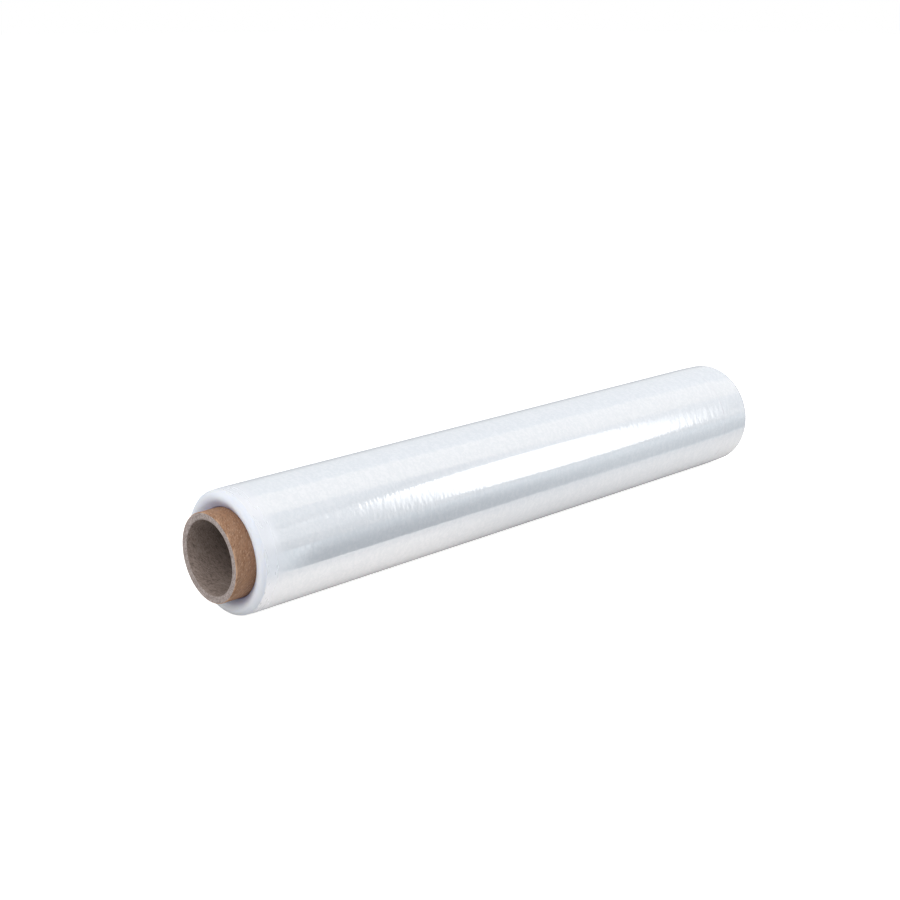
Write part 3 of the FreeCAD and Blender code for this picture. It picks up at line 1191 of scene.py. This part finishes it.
@dataclass(frozen=True)
class Studio:
    """The plain stage: pale floor, white surroundings, soft lamps and the camera."""

    floor_size: float = 60.0
    floor_albedo: float = 0.55
    floor_gloss_albedo: float = 0.95
    floor_glow: float = 0.88
    floor_gloss_glow: float = 0.17
    floor_gloss_lift: float = 0.74
    floor_gloss_behind: float = 0.55
    floor_gloss_tint: Colour = (1.0, 0.88, 0.77)
    floor_behind_tint: Colour = (0.88, 0.95, 1.0)
    surround_fill: float = 0.45
    card_edge: float = -0.0800
    camera_place: Place = (-0.74161, -0.72693, 0.36688)
    camera_heading: float = 43.40
    camera_pitch: float = 16.557
    camera_lens: float = 58.19
    sensor: float = 36.0

    def surround(self) -> None:
        """Makes the world: plain white where it is seen, and a softer fill on the object."""
        world = bpy.data.worlds.new("studio_white")
        world.use_nodes = True
        bpy.context.scene.world = world
        w = Wiring(world.node_tree)
        path = w.node("ShaderNodeLightPath").outputs
        gloss = w.sum("MAXIMUM", path["Is Glossy Ray"], path["Is Transmission Ray"])
        seen = w.sum("MAXIMUM", path["Is Camera Ray"], gloss)
        glow = w.node("ShaderNodeMapRange", {"Value": seen, "To Min": self.surround_fill, "To Max": 1.0})
        white = (1.0, 1.0, 1.0, 1.0)
        w.fill(world.node_tree.nodes["Background"], {"Color": white, "Strength": glow.outputs[0]})

    def floor(self) -> bpy.types.Object:
        """Lays the floor, which is white where it is seen and keeps the roll's shadow.

        Returns:
            The floor.
        """
        half = self.floor_size / 2
        mesh = bpy.data.meshes.new("studio_floor")
        corners = [(-half, -half, 0), (half, -half, 0), (half, half, 0), (-half, half, 0)]
        mesh.from_pydata(corners, [], [(0, 1, 2, 3)])
        floor = bpy.data.objects.new("studio_floor", mesh)
        bpy.context.scene.collection.objects.link(floor)
        material, w = start_glow("studio_floor")
        path = w.node("ShaderNodeLightPath").outputs
        place = w.split(w.node("ShaderNodeTexCoord").outputs["Object"])
        behind = w.rise(place["Y"], 0.0, 0.03)
        gloss_shade = w.blend(behind, (self.floor_gloss_albedo,) * 3, (0.1, 0.1, 0.1))
        shade = w.blend(path["Is Glossy Ray"], (self.floor_albedo,) * 3, gloss_shade)
        matt = w.node("ShaderNodeBsdfDiffuse", {"Color": shade})
        aside = w.sum("ABSOLUTE", place["Y"])
        out = w.rise(aside, 0.013, 0.031, self.floor_gloss_glow, self.floor_gloss_lift)
        out = w.sum("MULTIPLY", out, w.rise(aside, 0.050, 0.074, 1.0, 0.42))
        out = w.sum("MULTIPLY", out, w.rise(place["X"], -0.12, 0.03, 1.0, 0.60))
        out = w.node("ShaderNodeMix", {"Factor": behind, 2: out, 3: self.floor_gloss_behind}).outputs[0]
        gloss = w.sum("MULTIPLY", w.sum("MAXIMUM", path["Is Glossy Ray"], path["Is Transmission Ray"]), out)
        gloss_tint = w.blend(behind, self.floor_gloss_tint, self.floor_behind_tint)
        tint = w.blend(path["Is Glossy Ray"], (1.0, 1.0, 1.0), gloss_tint)
        level = w.sum("MULTIPLY_ADD", path["Is Camera Ray"], self.floor_glow, gloss)
        glow = w.node("ShaderNodeEmission", {"Color": tint, "Strength": level})
        both = w.node("ShaderNodeAddShader", {0: matt.outputs[0], 1: glow.outputs[0]})
        w.tree.links.new(both.outputs[0], w.tree.nodes["Material Output"].inputs["Surface"])
        mesh.materials.append(material)
        return floor

    def cards(self) -> tuple[GlossCard, ...]:
        """Gives the cards whose reflections draw the bands along the roll.

        Returns:
            The card on the floor in front, the ones along the horizon and behind, the pale one
            overhead, the grey one beside it and the bright ovals to the front and to the back.
        """
        across, up, slanting = (1.0, 0.0, 0.0), (0.0, 1.0, 0.0), (0.817, 0.577, 0.0)
        front_depth = 1.6
        front = GlossCard(
            "front_card",
            place=(0.75, self.card_edge - front_depth / 2, 0.001),
            faces=(0.75, self.card_edge - front_depth / 2, 0.0),
            wide=4.5,
            tall=front_depth,
            brightness=1.04,
            fades=(
                Fade(slanting, -0.325, -0.290, 1.0, 0.26),
                Fade(slanting, -0.252, 0.011, 1.0, 2.6),
                Fade(up, 0.790, 0.800, 1.0, 1.5),
            ),
            lifts=(Fade(up, 0.380, 0.730, 0.25, 0.0), Fade(up, 0.640, 0.790, 0.20, 0.0)),
            most=1.05,
            tint=(0.92, 0.97, 1.0),
        )
        horizon = GlossCard(
            "horizon_card",
            place=(1.5, -1.69, 0.24),
            faces=(1.5, 0.0, 0.24),
            wide=6.0,
            tall=0.48,
            brightness=1.0,
            fades=(Fade(up, -0.24, 0.0, 0.80, 0.95), Fade(across, -0.49, -0.10, 0.85, 1.2)),
        )
        back = GlossCard(
            "back_card",
            place=(0.75, 0.9, 0.18),
            faces=(0.75, 0.0, 0.18),
            wide=4.5,
            tall=0.36,
            brightness=1.0,
            fades=(Fade(up, -0.06, 0.18, 0.62, 1.0),),
        )
        overhead = GlossCard(
            "overhead_card",
            place=(1.0, -0.19, 1.0),
            faces=(1.0, -0.19, 0.0),
            wide=2.2,
            tall=0.73,
            brightness=1.22,
            lean=-17.5,
            fades=(Fade(up, -0.365, -0.27, 0.90, 1.0), Fade(up, 0.300, 0.335, 1.0, 1.12)),
            tint=(1.0, 0.960, 0.915),
        )
        gap = GlossCard(
            "gap_card",
            place=(0.765, -0.934, 1.002),
            faces=(0.765, -0.934, 0.0),
            wide=2.6,
            tall=0.83,
            brightness=1.0,
            lean=-17.5,
            fades=(Fade(across, -0.05, 0.25, 0.80, 1.06), Fade(across, -0.16, -0.04, 1.15, 1.0)),
        )
        oval = GlossCard(
            "oval_card",
            place=(1.1044, -1.0268, 0.548),
            faces=(0.0, 0.0, 0.08),
            wide=0.645,
            tall=0.99,
            brightness=2.3,
            lean=-5.6,
            corners=72,
            fades=(Fade(across, -0.29, -0.18, 0.6, 1.0), Fade(across, 0.16, 0.28, 1.0, 0.6)),
        )
        behind = (-1.1044, 1.0268, 0.548)
        back_oval = replace(oval, name="back_oval_card", place=behind, brightness=1.9, fades=())
        return front, horizon, back, overhead, gap, oval, back_oval

    def camera(self) -> bpy.types.Object:
        """Sets up the camera at the photograph's viewing angle.

        Returns:
            The camera.
        """
        data = bpy.data.cameras.new("camera")
        data.lens = self.camera_lens
        data.sensor_width = self.sensor
        data.sensor_fit = "HORIZONTAL"
        data.clip_end = 200.0
        camera = bpy.data.objects.new("camera", data)
        camera.location = self.camera_place
        camera.rotation_euler = (math.radians(90 - self.camera_pitch), 0, math.radians(-self.camera_heading))
        bpy.context.scene.collection.objects.link(camera)
        bpy.context.scene.camera = camera
        return camera

    def build(self) -> None:
        """Sets up everything on the stage."""
        self.surround()
        self.floor()
        for card in self.cards():
            card.build()
        self.camera()
        lamps = (
            SoftLamp("ceiling_softbox", (1.0, -0.19, 1.0), (1.0, -0.19, 0.0), 2.2, 0.73, 1.15, lean=-17.5),
            SoftLamp("front_softbox", (1.109, -1.028, 0.584), (0.0, 0.0, 0.06), 0.69, 1.06, 2.6, lean=12.3),
            SoftLamp("left_softbox", (-1.15, -0.30, 0.80), (-0.25, 0.0, 0.05), 1.4, 1.4, 1.8),
        )
        for lamp in lamps:
            lamp.build()
        bpy.context.scene.view_settings.view_transform = "Standard"


def main() -> None:
    """Builds the roll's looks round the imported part, then the studio."""
    logging.basicConfig(level=logging.INFO, format="%(message)s")
    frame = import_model()
    film_low, film_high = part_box("stretch_film")
    core_low, core_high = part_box("cardboard_core")
    bore = next(mount for mount in frame["record"]["mounts"] if mount["name"] == "core_bore")
    axis_height = bore["pos_m"][2]
    bore_radius = bore["dims"]["r_mm"] * MM
    core_radius = core_high.z - axis_height
    film_radius = film_high.z - axis_height

    effects = SharedEffects(RollPlaces(axis_height).build(), ClingMarks().build(), PaperFibre().build())
    film = StretchFilm(film_low, film_high, core_radius, film_radius, axis_height)
    core = CardboardCore(core_low, core_high, bore_radius, core_radius, axis_height)
    film_finishes = [WoundFilm().build(effects), FilmEnds().build(effects)]
    core_finishes = [KraftPly().build(effects), CutBoard().build(effects), BoreLiner().build(effects)]
    for piece in (film.build(film_finishes), core.build(core_finishes)):
        log.info("%s: %d faces", piece.name, len(piece.data.polygons))
    Studio().build()


if __name__ == "__main__":
    main()
